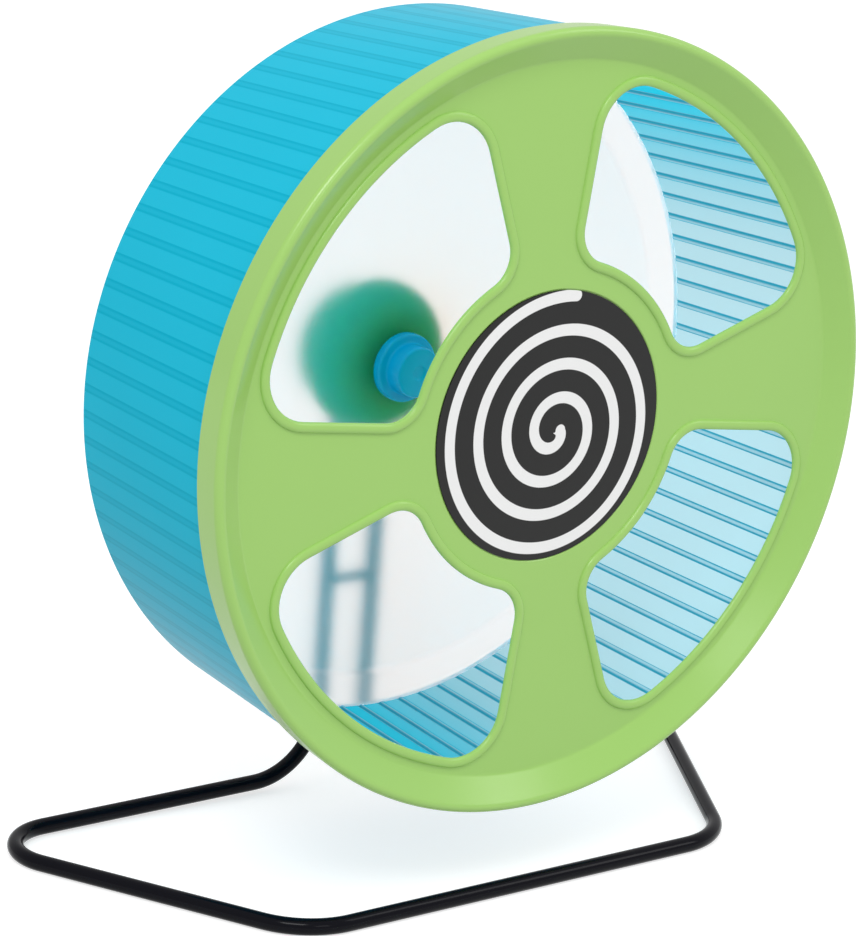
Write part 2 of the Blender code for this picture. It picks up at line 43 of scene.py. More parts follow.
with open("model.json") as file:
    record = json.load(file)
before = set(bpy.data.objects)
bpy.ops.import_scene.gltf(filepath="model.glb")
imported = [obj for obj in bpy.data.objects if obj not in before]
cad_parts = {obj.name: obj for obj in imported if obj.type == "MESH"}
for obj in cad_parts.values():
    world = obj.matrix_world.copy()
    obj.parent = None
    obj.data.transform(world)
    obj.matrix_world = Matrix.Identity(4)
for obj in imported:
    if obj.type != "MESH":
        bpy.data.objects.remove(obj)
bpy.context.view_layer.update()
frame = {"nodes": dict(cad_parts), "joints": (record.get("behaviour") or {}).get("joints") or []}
axle = Vector(frame["joints"][0]["pos_m"])


def length(name, description, default):
    return FloatProperty(
        name=name, description=description, default=default, min=0.0, precision=5,
        subtype="DISTANCE", unit="LENGTH",
    )


def turn_angle(name, description, degrees):
    return FloatProperty(
        name=name, description=description, default=math.radians(degrees),
        subtype="ANGLE", unit="ROTATION",
    )


def plain(name, description, default):
    return FloatProperty(name=name, description=description, default=default, subtype="FACTOR")


def colour(name, description, default):
    return FloatVectorProperty(
        name=name, description=description, default=default, size=3, min=0.0, max=1.0,
        subtype="COLOR",
    )


class WheelSizes(bpy.types.PropertyGroup):
    """Sizes of the turning parts, measured from the front face of the hub plate."""

    turn: turn_angle("Wheel turn", "How far the wheel stands turned, seen from the front", 6.55)
    rib_turn: turn_angle("Rib turn", "Where the first rib stands on the turned wheel", -0.45)
    rim_radius: length("Rim radius", "Outline of the front guard", 0.1403)
    rim_height: length("Rim height", "How far the rim stands in front of the hub plate", 0.0065)
    rim_draft: length("Rim draft", "How much smaller the skirt is at its back edge", 0.0007)
    rim_round: length("Rim round", "Radius of the rim's front edge", 0.0022)
    rim_slope: length("Rim slope", "Width of the slope from the hub plate to the rim", 0.0110)
    guard_wall: length("Guard wall", "Thickness of the guard's plate", 0.0022)
    skirt_wall: length("Skirt wall", "Thickness of the skirt over the drum", 0.0014)
    skirt_depth: length("Skirt depth", "How far the skirt reaches over the drum", 0.0071)
    window_inner: length("Window inner radius", "Inner edge of the windows", 0.0597)
    window_outer: length("Window outer radius", "Outer edge of the windows", 0.1222)
    window_angle: turn_angle("Window half angle", "Half the angle that a window spans", 31.8)
    window_inner_round: length("Inner corner", "Corner radius next to the hub", 0.0121)
    window_outer_round: length("Outer corner", "Corner radius next to the rim", 0.0165)
    bead_width: length("Bead width", "Width of the raised bead round a window", 0.0036)
    bead_height: length("Bead height", "Height of the raised bead round a window", 0.0013)
    label_radius: length("Label radius", "Radius of the printed label", 0.0485)
    label_thickness: length("Label thickness", "Thickness of the label", 0.0004)
    gap: length("Gap", "Gap between pieces that touch", 0.0003)
    track_length: length("Drum length", "Back edge of the drum", 0.0904)
    track_front: length("Drum front radius", "Outer radius of the drum at the guard", 0.1379)
    track_rear: length("Drum rear radius", "Outer radius of the drum at its back edge", 0.1337)
    track_wall: length("Drum wall", "Thickness of the drum between its ribs", 0.0016)
    track_start: length("Drum start", "Front edge of the drum, inside the skirt", 0.0004)
    rib_count: IntProperty(name="Ribs", description="Running ribs round the drum", default=90)
    rib_width: length("Rib width", "Width of a rib at its root", 0.0024)
    rib_height: length("Rib height", "Height of a rib", 0.0012)
    rib_nose: length("Rib nose", "Length of a rib's rounded end", 0.0014)
    wall_thickness: length("Back wall", "Thickness of the back wall", 0.0020)
    band_width: length("Band width", "Width of the raised band at the back wall's edge", 0.0139)
    band_height: length("Band height", "Height of that band", 0.0012)


class HubSizes(bpy.types.PropertyGroup):
    """Sizes of the hub cap and the bearing housing, on the same scale of depths."""

    cap_front: length("Cap front", "Front face of the hub cap", 0.0770)
    cap_base_radius: length("Cap base", "Radius of the cap's flange", 0.0130)
    cap_base_depth: length("Cap base depth", "Depth of the cap's flange", 0.0038)
    cap_radius: length("Cap radius", "Radius of the cap's front step", 0.0095)
    cap_bore: length("Cap bore", "Radius of the room inside the cap", 0.0065)
    cap_wall: length("Cap wall", "Thickness of the cap's front", 0.0022)
    cap_edge: length("Cap edge", "Round on the cap's edges", 0.0012)
    housing_front: length("Housing front", "Front face of the bearing housing", 0.0932)
    mouth_radius: length("Housing mouth", "Radius of the hole for the sleeve", 0.0057)
    nose_radius: length("Housing nose", "Radius of the housing's flat front", 0.0140)
    housing_radius: length("Housing radius", "Outer radius of the housing's skirt", 0.0290)
    skirt_end: length("Skirt end", "Back edge of the housing's skirt", 0.1084)
    cover_radius: length("Cover radius", "Radius of the cover and of the collar under it", 0.0245)
    housing_rim: length("Housing rim", "Depth of the housing's straight collar", 0.0054)
    housing_wall: length("Housing wall", "Wall of the housing and its cover", 0.0022)
    seat_radius: length("Bearing seat", "Radius of the seats for the bearings", 0.00962)
    seat_wall: length("Seat wall", "Wall of the tube round the bearings", 0.0022)
    shoulder_radius: length("Shoulder radius", "Radius of the ring between the seats", 0.0078)
    front_seat: length("Front seat", "Front end of the front bearing's seat", 0.0947)
    shoulder_front: length("Shoulder front", "Front face of the ring between the seats", 0.1013)
    shoulder_back: length("Shoulder back", "Back face of the ring between the seats", 0.1028)
    seat_back: length("Seat back", "Back end of the seats", 0.1091)
    cover_back: length("Cover back", "Back face of the cover", 0.1219)
    cover_edge: length("Cover edge", "Round on the cover's edge", 0.0016)
    post_radius: length("Post radius", "Radius of the screw posts", 0.0034)
    screw_circle: length("Screw circle", "Distance of the screws from the axle", 0.0195)
    screw_angle: turn_angle("Screw angle", "Angle of the screws above and below the axle", 25.0)
    screw_radius: length("Screw radius", "Radius of a screw's shank", 0.0014)
    screw_head_radius: length("Screw head radius", "Radius of a screw's head", 0.0024)
    screw_head: length("Screw head", "Height of a screw's head", 0.0018)
    screw_length: length("Screw length", "Length of a screw under its head", 0.0140)


class StandSizes(bpy.types.PropertyGroup):
    """Sizes of the bent wire, to the middle of the wire."""

    wire_radius: length("Wire radius", "Half the wire's thickness", 0.0030)
    wire_depth: length("Upright depth", "Uprights behind the front face of the hub plate", 0.1125)
    front_bar: length("Front bar", "Front bar ahead of the front face of the hub plate", 0.0082)
    rear_half: length("Rear half width", "Where the rear corners would meet", 0.1628)
    front_half: length("Front half width", "Where the front corners would meet", 0.0944)
    upright_half: length("Upright half spacing", "Half the distance between the uprights", 0.01047)
    upright_top: length("Upright top", "How far the uprights reach above the axle", 0.0140)
    rear_bend: length("Rear bend", "Bend radius of the rear corners", 0.0190)
    front_bend: length("Front bend", "Bend radius of the front corners", 0.0300)
    foot_bend: length("Foot bend", "Bend radius from the rear bar to the uprights", 0.0280)
    foot_lift: length("Foot lift", "How far the rear bar rises towards the uprights", 0.0016)
    crossbar_radius: length("Crossbar radius", "Half the crossbar's thickness", 0.0019)
    crossbar_drop: length("Crossbar drop", "Crossbar below the axle", 0.0890)


class Colours(bpy.types.PropertyGroup):
    """Colours of the finishes."""

    guard: colour("Guard", "Green of the front guard", (0.350, 0.612, 0.150))
    housing: colour("Housing", "Green of the bearing housing", (0.000, 0.430, 0.015))
    label: colour("Label", "Black of the label", (0.008, 0.008, 0.008))
    spiral: colour("Spiral", "White of the printed spiral", (0.880, 0.880, 0.880))
    drum: colour("Drum", "Blue of the drum", (0.015, 0.520, 0.720))
    # Darker blue where a rib thickens the wall, with painted shade along the rib's two edges.
    drum_line_edge_shade: colour("Drum line", "Blue where a rib thickens the wall", (0.000, 0.430, 0.610))
    drum_thin: colour("Drum, seen straight", "Light through the drum, seen straight", (0.580, 0.850, 0.930))
    drum_thick: colour("Drum, seen aslant", "Light through the drum, seen aslant", (0.020, 0.660, 0.900))
    # Painted shade on the sides of the ribs inside the drum, also in the light passing through them.
    drum_rib_edge_shade: colour("Drum rib", "Light through a rib's edges", (0.030, 0.430, 0.600))
    wall: colour("Wall", "Light straight through the back wall", (0.760, 0.600, 0.540))
    veil: colour("Veil", "Light scattered in the back wall", (0.000, 0.200, 0.275))
    band: colour("Band", "Light scattered in the raised band at its edge", (0.050, 0.215, 0.280))
    cap: colour("Cap", "Blue of the hub cap", (0.000, 0.440, 0.800))
    wire: colour("Wire", "Black coating of the wire", (0.003, 0.003, 0.006))
    zinc: colour("Zinc", "Zinc plating of the bolt, nut and screws", (0.640, 0.650, 0.660))
    steel: colour("Steel", "Steel of the bearings", (0.560, 0.560, 0.580))
    nylon: colour("Nylon", "Nylon of the ball cages", (0.740, 0.720, 0.640))


class StageSettings(bpy.types.PropertyGroup):
    """The camera and the studio."""

    lens: FloatProperty(name="Lens", description="Focal length in mm", default=120.35)
    camera: FloatVectorProperty(
        name="Camera", description="Where the camera stands", size=3, subtype="TRANSLATION",
        unit="LENGTH", default=(-0.66799, -0.86712, 0.45317),
    )
    aim: FloatVectorProperty(
        name="Aim", description="The camera's turn", size=3, subtype="EULER", unit="ROTATION",
        default=(math.radians(74.0215), math.radians(-4.1083), math.radians(-36.0725)),
    )
    room_light: plain("Room light", "Brightness of the white room", 0.75)
    key_light: FloatProperty(name="Key light", description="Power of the key lamp", default=11.0)
    side_light: FloatProperty(name="Side light", description="Power of the side lamp", default=4.0)
    front_light: FloatProperty(name="Front light", description="Power of the front lamp", default=1.5)
    floor_tone: plain("Floor tone", "How pale the floor is", 0.60)
    floor_glow: plain("Floor glow", "White added to the floor where it is seen", 0.64)


# Materials


def put(tree, value, socket):
    """Feed a socket from another socket, or set it to a number or colour."""
    if isinstance(value, bpy.types.NodeSocket):
        tree.links.new(value, socket)
    else:
        socket.default_value = value


def opaque(shade):
    """A colour of three numbers gets its opacity; a socket stays as it is."""
    return shade if isinstance(shade, bpy.types.NodeSocket) else (*shade, 1.0)


def maths(tree, operation, *values, clamp=False):
    node = tree.nodes.new("ShaderNodeMath")
    node.operation = operation
    node.use_clamp = clamp
    for value, socket in zip(values, node.inputs):
        put(tree, value, socket)
    return node.outputs[0]


def distance(tree, across, up):
    squares = [maths(tree, "MULTIPLY", side, side) for side in (across, up)]
    return maths(tree, "SQRT", maths(tree, "ADD", *squares))


def ramp(tree, value, low, high, start=0.0, end=1.0):
    """A smooth step from start to end while the value goes from low to high."""
    node = tree.nodes.new("ShaderNodeMapRange")
    node.interpolation_type = "SMOOTHSTEP"
    for name, given in (
        ("Value", value), ("From Min", low), ("From Max", high), ("To Min", start), ("To Max", end)
    ):
        put(tree, given, node.inputs[name])
    return node.outputs["Result"]


def soft_edge(tree, value, edge, softness, start=0.0, end=1.0):
    """A smooth step from start to end across an edge, as wide as the softness on each side."""
    low = maths(tree, "SUBTRACT", edge, softness)
    high = maths(tree, "ADD", edge, softness)
    return ramp(tree, value, low, high, start, end)


def blend_colours(tree, factor, first, second):
    node = tree.nodes.new("ShaderNodeMix")
    node.data_type = "RGBA"
    put(tree, factor, node.inputs["Factor"])
    put(tree, opaque(first), node.inputs["A"])
    put(tree, opaque(second), node.inputs["B"])
    return node.outputs["Result"]


def blend_shaders(tree, factor, first, second):
    node = tree.nodes.new("ShaderNodeMixShader")
    put(tree, factor, node.inputs["Fac"])
    tree.links.new(first.outputs[0], node.inputs[1])
    tree.links.new(second.outputs[0], node.inputs[2])
    return node


def add_shaders(tree, first, second):
    node = tree.nodes.new("ShaderNodeAddShader")
    tree.links.new(first.outputs[0], node.inputs[0])
    tree.links.new(second.outputs[0], node.inputs[1])
    return node


def show(tree, shader, output="Material Output"):
    tree.links.new(shader.outputs[0], tree.nodes[output].inputs["Surface"])


def seen(tree):
    """1 for a ray from the camera, also after a reflection or on its way through a clear piece."""
    path = tree.nodes.new("ShaderNodeLightPath").outputs
    found = path["Is Camera Ray"]
    for way in ("Is Glossy Ray", "Is Transmission Ray"):
        found = maths(tree, "MAXIMUM", found, path[way])
    return found


def object_place(tree):
    """The place on the piece, in metres from its own origin, whole and as separate X, Y and Z."""
    place = tree.nodes.new("ShaderNodeTexCoord").outputs["Object"]
    split = tree.nodes.new("ShaderNodeSeparateXYZ")
    tree.links.new(place, split.inputs[0])
    return place, split.outputs


def new_group(name, inputs, outputs):
    """An effect that several finishes share. Returns its tree and the sockets to read and feed."""
    tree = bpy.data.node_groups.new(name, "ShaderNodeTree")

    def add(label, side, is_colour):
        kind = "NodeSocketColor" if is_colour else "NodeSocketFloat"
        return tree.interface.new_socket(name=label, in_out=side, socket_type=kind)

    for label, default in inputs.items():
        add(label, "INPUT", isinstance(default, tuple)).default_value = default
    for label in outputs:
        add(label, "OUTPUT", label == "Colour")
    given = tree.nodes.new("NodeGroupInput").outputs
    found = tree.nodes.new("NodeGroupOutput").inputs
    return tree, given, found


def place_effect(tree, name, **values):
    """Add a shared effect to a finish; the group is built when it is first used."""
    node = tree.nodes.new("ShaderNodeGroup")
    node.node_tree = bpy.data.node_groups.get(name) or EFFECTS[name]()
    for key, value in values.items():
        put(tree, value, node.inputs[key.replace("_", " ")])
    return node.outputs


def skin_effect():
    """The surface of a moulded or coated piece: slow changes of tone, fine grain and faint marks."""
    tree, given, found = new_group(
        "surface skin",
        {"Colour": (0.5, 0.5, 0.5, 1.0), "Gloss": 0.3, "Grain": 900.0, "Unevenness": 0.04},
        ("Colour", "Roughness", "Height"),
    )
    calc = partial(maths, tree)
    place, _ = object_place(tree)
    noises = []
    for scale, detail in ((18.0, 2.0), (given["Grain"], 2.0), (160.0, 4.0)):
        noise = tree.nodes.new("ShaderNodeTexNoise")
        tree.links.new(place, noise.inputs["Vector"])
        put(tree, scale, noise.inputs["Scale"])
        noise.inputs["Detail"].default_value = detail
        noises.append(noise.outputs["Fac"])
    slow, fine, marks = noises
    drift = calc("MULTIPLY", calc("SUBTRACT", slow, 0.5), given["Unevenness"])
    tone = tree.nodes.new("ShaderNodeHueSaturation")
    put(tree, calc("ADD", drift, 1.0), tone.inputs["Value"])
    put(tree, given["Colour"], tone.inputs["Color"])
    put(tree, tone.outputs["Color"], found["Colour"])
    mark_depth = 0.08
    worn = calc("MULTIPLY", calc("SUBTRACT", marks, 0.5), mark_depth)
    put(tree, calc("ADD", given["Gloss"], worn, clamp=True), found["Roughness"])
    swell = 3.0
    put(tree, calc("ADD", calc("MULTIPLY", slow, swell), fine), found["Height"])
    return tree


def rib_shade_effect():
    """Where the ribs thicken the drum's wall: 1 along a rib's two edges, less on its crest, 0 between. The
    darker edges are painted shade of the rib's sides.
    """
    tree, given, found = new_group(
        "rib lines and edge shade", {"Ribs": 90.0, "Turn": 0.0, "Width": 0.25, "Crest": 0.5}, ("Mask",)
    )
    calc = partial(maths, tree)
    _, axes = object_place(tree)
    angle = calc("SUBTRACT", calc("ARCTAN2", axes["Z"], axes["X"]), given["Turn"])
    phase = calc("MULTIPLY", angle, calc("DIVIDE", given["Ribs"], math.tau))
    away = calc("ABSOLUTE", calc("SUBTRACT", calc("FRACT", calc("ADD", phase, 0.5)), 0.5))
    share = calc("DIVIDE", away, calc("MULTIPLY", given["Width"], 0.5))
    outside = ramp(tree, share, 0.85, 1.15, 1.0, 0.0)
    edges = calc("MULTIPLY", ramp(tree, share, 0.20, 0.80), calc("SUBTRACT", 1.0, given["Crest"]))
    put(tree, calc("MULTIPLY", outside, calc("ADD", edges, given["Crest"])), found["Mask"])
    return tree


def ring_effect():
    """1 outside a radius round the axle, 0 inside it, with a soft step between."""
    tree, given, found = new_group("ring step", {"Radius": 0.1, "Softness": 0.001}, ("Mask",))
    _, axes = object_place(tree)
    radius = distance(tree, axes["X"], axes["Z"])
    put(tree, soft_edge(tree, radius, given["Radius"], given["Softness"]), found["Mask"])
    return tree


def spiral_effect():
    """A printed spiral line with round ends: 1 on the line. Radii are in metres.

    Start and End count turns inward from Radius.
    """
    tree, given, found = new_group(
        "printed spiral",
        {
            "Middle X": 0.0, "Middle Z": 0.0, "Radius": 0.04, "Pitch": 0.012, "Line": 0.0042,
            "Start": -0.8, "End": 3.0,
        },
        ("Mask",),
    )
    calc = partial(maths, tree)
    _, axes = object_place(tree)
    across = calc("SUBTRACT", axes["X"], given["Middle X"])
    up = calc("SUBTRACT", axes["Z"], given["Middle Z"])
    radius = distance(tree, across, up)
    part = calc("DIVIDE", calc("ARCTAN2", up, across), math.tau)
    turns = calc("DIVIDE", calc("SUBTRACT", given["Radius"], radius), given["Pitch"])
    off = calc("SUBTRACT", turns, part)
    whole = calc("ROUND", off)
    along = calc("ADD", whole, part)
    lean = distance(tree, calc("DIVIDE", calc("DIVIDE", given["Pitch"], math.tau), radius), 1.0)
    away = calc("MULTIPLY", calc("ABSOLUTE", calc("SUBTRACT", off, whole)), given["Pitch"])
    half = calc("MULTIPLY", given["Line"], 0.5)
    ink_edge = 0.00012
    line = soft_edge(tree, calc("DIVIDE", away, lean), half, ink_edge, 1.0, 0.0)
    line = calc("MULTIPLY", line, calc("GREATER_THAN", along, given["Start"]))
    line = calc("MULTIPLY", line, calc("LESS_THAN", along, given["End"]))
    for end in ("Start", "End"):
        reach = calc("SUBTRACT", given["Radius"], calc("MULTIPLY", given[end], given["Pitch"]))
        if end == "End":
            # The formula for the line fails close to the middle, so it is left out there
            core = calc("SUBTRACT", reach, half)
            line = calc("MULTIPLY", line, calc("GREATER_THAN", radius, core))
        heading = calc("MULTIPLY", given[end], math.tau)
        gap_x = calc("SUBTRACT", across, calc("MULTIPLY", reach, calc("COSINE", heading)))
        gap_z = calc("SUBTRACT", up, calc("MULTIPLY", reach, calc("SINE", heading)))
        dot = soft_edge(tree, distance(tree, gap_x, gap_z), half, ink_edge, 1.0, 0.0)
        line = calc("MAXIMUM", line, dot)
    put(tree, line, found["Mask"])
    return tree


EFFECTS = {
    "surface skin": skin_effect,
    "rib lines and edge shade": rib_shade_effect,
    "ring step": ring_effect,
    "printed spiral": spiral_effect,
}


def new_finish(name, ior=1.5, specular=0.5):
    finish = bpy.data.materials.new(name)
    finish.use_nodes = True
    tree = finish.node_tree
    shader = tree.nodes["Principled BSDF"]
    shader.inputs["IOR"].default_value = ior
    shader.inputs["Specular IOR Level"].default_value = specular
    return finish, tree, shader


def skinned(tree, shader, shade, gloss, grain=900.0, unevenness=0.04, depth=0.00001):
    """Drive a shader's colour, roughness and bump from the shared surface skin."""
    skin = place_effect(
        tree, "surface skin", Colour=opaque(shade), Gloss=gloss, Grain=grain, Unevenness=unevenness
    )
    tree.links.new(skin["Colour"], shader.inputs["Base Color"])
    tree.links.new(skin["Roughness"], shader.inputs["Roughness"])
    bump = tree.nodes.new("ShaderNodeBump")
    bump.inputs["Strength"].default_value = 0.5
    bump.inputs["Distance"].default_value = depth
    tree.links.new(skin["Height"], bump.inputs["Height"])
    tree.links.new(bump.outputs["Normal"], shader.inputs["Normal"])
    return bump.outputs["Normal"]


def guard_finish():
    finish, tree, shader = new_finish("glossy green plastic", ior=1.49, specular=0.40)
    skinned(tree, shader, colours().guard, 0.22, unevenness=0.03, depth=0.000004)
    return finish


def housing_finish():
    finish, tree, shader = new_finish("housing green plastic", ior=1.49, specular=0.15)
    skinned(tree, shader, colours().housing, 0.20, unevenness=0.03)
    return finish


def label_finish():
    finish, tree, shader = new_finish("printed label", specular=0.30)
    mask = place_effect(
        tree,
        "printed spiral",
        Middle_X=0.00218,
        Middle_Z=-0.00223,
        Radius=0.03895,
        Pitch=0.012134,
        Line=0.0042,
        Start=-0.785,
        End=2.985,
    )["Mask"]
    ink = blend_colours(tree, mask, colours().label, colours().spiral)
    skinned(tree, shader, ink, 0.38, grain=2400.0, unevenness=0.05, depth=0.000006)
    return finish


# A mask for painted shade along the ribs' edges, on the drum's outside and inside.
def rib_edge_shade_mask(tree, width, crest):
    sizes = wheel()
    pitch = math.tau * sizes.track_rear / sizes.rib_count
    return place_effect(
        tree,
        "rib lines and edge shade",
        Ribs=float(sizes.rib_count),
        Turn=sizes.rib_turn,
        Width=sizes.rib_width / pitch * width,
        Crest=crest,
    )["Mask"]


def drum_outside_finish():
    """Blue plastic that scatters most of the light. From behind it is clear: its inside does the rest."""
    finish, tree, shader = new_finish("clear blue plastic", ior=1.45, specular=0.03)
    # Painted shade: the ribs' edges are drawn as darker blue lines on the outside.
    mask = rib_edge_shade_mask(tree, 1.25, 0.45)
    tint = blend_colours(tree, mask, colours().drum, colours().drum_line_edge_shade)
    skinned(tree, shader, tint, 0.30, unevenness=0.05)
    behind = tree.nodes.new("ShaderNodeNewGeometry").outputs["Backfacing"]
    shadow = tree.nodes.new("ShaderNodeLightPath").outputs["Is Shadow Ray"]
    passed_light = 0.6
    lit = maths(tree, "MULTIPLY", shadow, passed_light)
    blue = tree.nodes.new("ShaderNodeBsdfTransparent")
    blue.inputs["Color"].default_value = opaque(colours().drum_thin)
    clear = tree.nodes.new("ShaderNodeBsdfTransparent")
    passing = blend_shaders(tree, behind, blue, clear)
    show(tree, blend_shaders(tree, maths(tree, "MAXIMUM", behind, lit), shader, passing))
    finish.use_backface_culling = True
    return finish


def drum_inside_finish():
    """The same plastic from inside: light comes through it, bluer where it is seen aslant, with painted
    shade along the ribs' edges.
    """
    finish, tree, shader = new_finish("clear blue plastic inside", ior=1.45, specular=0.12)
    mask = rib_edge_shade_mask(tree, 1.00, 0.10)
    tint = blend_colours(tree, mask, colours().drum_thick, colours().drum_rib_edge_shade)
    normal = skinned(tree, shader, tint, 0.24, unevenness=0.05)
    glows = []
    for shade in (colours().drum_thin, colours().drum_thick):
        glow = tree.nodes.new("ShaderNodeBsdfTranslucent")
        put(tree, blend_colours(tree, mask, shade, colours().drum_rib_edge_shade), glow.inputs["Color"])
        put(tree, normal, glow.inputs["Normal"])
        glows.append(glow)
    slant = tree.nodes.new("ShaderNodeLayerWeight")
    slant.inputs["Blend"].default_value = 0.5
    through = blend_shaders(tree, ramp(tree, slant.outputs["Facing"], 0.38, 0.70), *glows)
    through_share = 0.85
    show(tree, blend_shaders(tree, through_share, shader, through))
    return finish


def wall_finish():
    """Milky plastic: it scatters the blue of the light behind it and lets the rest straight through."""
    finish, tree, shader = new_finish("frosted plastic", ior=1.20)
    sizes = wheel()
    edge = sizes.track_rear - sizes.track_wall - sizes.band_width
    band = place_effect(tree, "ring step", Radius=edge, Softness=0.0008)["Mask"]
    skinned(tree, shader, colours().wall, 0.42, unevenness=0.02, depth=0.000003)
    shader.inputs["Transmission Weight"].default_value = 1.0
    veil = tree.nodes.new("ShaderNodeBsdfTranslucent")
    put(tree, blend_colours(tree, band, colours().veil, colours().band), veil.inputs["Color"])
    show(tree, add_shaders(tree, shader, veil))
    return finish


def cap_finish():
    finish, tree, shader = new_finish("deep blue plastic", ior=1.49, specular=0.20)
    skinned(tree, shader, colours().cap, 0.22, unevenness=0.06)
    return finish


def wire_finish():
    finish, tree, shader = new_finish("black coated wire", ior=1.45, specular=0.12)
    skinned(tree, shader, colours().wire, 0.13, grain=500.0, unevenness=0.2, depth=0.00001)
    return finish


def metal_finish(name, tone, gloss):
    finish, tree, shader = new_finish(name)
    skinned(tree, shader, tone, gloss, grain=3000.0, unevenness=0.12)
    shader.inputs["Metallic"].default_value = 1.0
    return finish


def nylon_finish():
    finish, tree, shader = new_finish("cage nylon")
    skinned(tree, shader, colours().nylon, 0.42)
    return finish


# Shapes

fine = 0.0003  # the round on a small edge, and the room round a wire or screw
overrun = 0.001  # how far a cutter reaches past the face that it cuts
shy = 0.0001  # how far the screw posts end before the parting plane


def wheel():
    return bpy.context.scene.wheel_sizes


def hub():
    return bpy.context.scene.hub_sizes


def stand():
    return bpy.context.scene.stand_sizes


def colours():
    return bpy.context.scene.wheel_colours


def arc(centre, radii, start, end, steps):
    """Points along a part of a circle, or of an ellipse where two radii are given."""
    if not isinstance(radii, tuple):
        radii = (radii, radii)
    angles = [start + (end - start) * step / steps for step in range(steps + 1)]
    return [
        (centre[0] + radii[0] * math.cos(angle), centre[1] + radii[1] * math.sin(angle))
        for angle in angles
    ]


def circle(radius, sides, middle=(0.0, 0.0)):
    return arc(middle, radius, 0.0, math.tau, sides)[:-1]


def rounded(profile, rounds, steps=4):
    """Soften the inner corners of a line of (radius, depth) points by the given amounts."""
    longest = 0.49
    found = [profile[0]]
    for before, corner, after, amount in zip(profile, profile[1:], profile[2:], rounds):
        corner = Vector(corner)
        into = Vector(before) - corner
        out = Vector(after) - corner
        amount = min(amount, into.length * longest, out.length * longest)
        if amount <= 0.0:
            found.append(tuple(corner))
            continue
        start = corner + into.normalized() * amount
        end = corner + out.normalized() * amount
        for share in (step / steps for step in range(steps + 1)):
            curve = start * (1 - share) ** 2 + corner * 2 * share * (1 - share) + end * share**2
            found.append(tuple(curve))
    found.append(profile[-1])
    return found


def ring_points(radius, depth, steps):
    return [(x, depth, z) for x, z in circle(radius, steps)]


def shifted(row):
    """The same ring, one step on."""
    return row[1:] + row[:1]


def join(shape, first, second):
    for corners in zip(first, shifted(first), shifted(second), second):
        shape.faces.new(corners)


def add_strip(shape, rings, closed=False):
    rows = [[shape.verts.new(point) for point in ring] for ring in rings]
    for first, second in zip(rows, rows[1:] + (rows[:1] if closed else [])):
        join(shape, first, second)
    return rows


def add_bar(shape, rings):
    """A strip with both its ends closed."""
    rows = add_strip(shape, rings)
    shape.faces.new(rows[0][::-1])
    shape.faces.new(rows[-1])


def cap_ring(shape, row, depth):
    """Close a ring with a fan from its middle."""
    middle = shape.verts.new((0.0, depth, 0.0))
    for first, second in zip(row, shifted(row)):
        shape.faces.new((first, second, middle))


def ring_edges(row):
    pairs = zip(row, shifted(row))
    return [next(edge for edge in one.link_edges if other in edge.verts) for one, other in pairs]


def add_object(name, shape, sharp=35.0):
    bmesh.ops.recalc_face_normals(shape, faces=shape.faces)
    mesh = bpy.data.meshes.new(name)
    shape.to_mesh(mesh)
    shape.free()
    mesh.shade_smooth()
    mesh.set_sharp_from_angle(angle=math.radians(sharp))
    thing = bpy.data.objects.new(name, mesh)
    bpy.context.scene.collection.objects.link(thing)
    return thing


def finish_piece(name, shape, finish, body, nodes, turn=0.0, sharp=35.0, even=True):
    """Make the object, stand it on the axle, give it its finish and let it ride on its body."""
    piece = add_object(name, shape, sharp)
    piece.data.materials.append(finish)
    piece.location = axle
    piece.rotation_euler = (0.0, -turn, 0.0)
    if even:
        step = piece.modifiers.new("even shading", "WEIGHTED_NORMAL")
        step.keep_sharp = True
    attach(piece, body)
    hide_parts(*nodes)
    return piece


def turned_shape(profile, steps):
    """A body of revolution from a line of (radius, depth) points; ends on the axle are closed."""
    shape = bmesh.new()
    middle = [point for point in profile if point[0] > 0.0]
    rows = add_strip(shape, [ring_points(*point, steps) for point in middle], profile[0][0] > 0.0)
    if profile[0][0] <= 0.0:
        cap_ring(shape, rows[0], profile[0][1])
        cap_ring(shape, rows[-1], profile[-1][1])
    return shape


def window_outline(turn, grow):
    sizes = wheel()
    inner = sizes.window_inner - grow
    outer = sizes.window_outer + grow
    inner_round = sizes.window_inner_round + grow
    outer_round = sizes.window_outer_round + grow
    along = Vector((math.cos(sizes.window_angle), math.sin(sizes.window_angle)))
    across = Vector((-along.y, along.x))

    def corner(distance, inset):
        return along * math.sqrt(distance**2 - inset**2) + across * inset

    outer_centre = corner(outer - outer_round, grow - outer_round)
    inner_centre = corner(inner + inner_round, grow - inner_round)
    outer_angle = math.atan2(outer_centre.y, outer_centre.x)
    inner_angle = math.atan2(inner_centre.y, inner_centre.x)
    side_angle = sizes.window_angle + math.pi / 2
    half = arc((0, 0), outer, 0, outer_angle, 26)
    half += arc(outer_centre, outer_round, outer_angle, side_angle, 14)[1:]
    inner_corner = arc(inner_centre, inner_round, side_angle, inner_angle + math.pi, 14)
    first, last = Vector(half[-1]), Vector(inner_corner[0])
    half += [tuple(first.lerp(last, step / 8)) for step in range(1, 8)]
    half += inner_corner
    half += arc((0, 0), inner, inner_angle, 0, 12)[1:]
    whole = half + [(x, -z) for x, z in reversed(half[1:-1])]
    cosine, sine = math.cos(turn), math.sin(turn)
    return [(x * cosine - z * sine, x * sine + z * cosine) for x, z in whole]


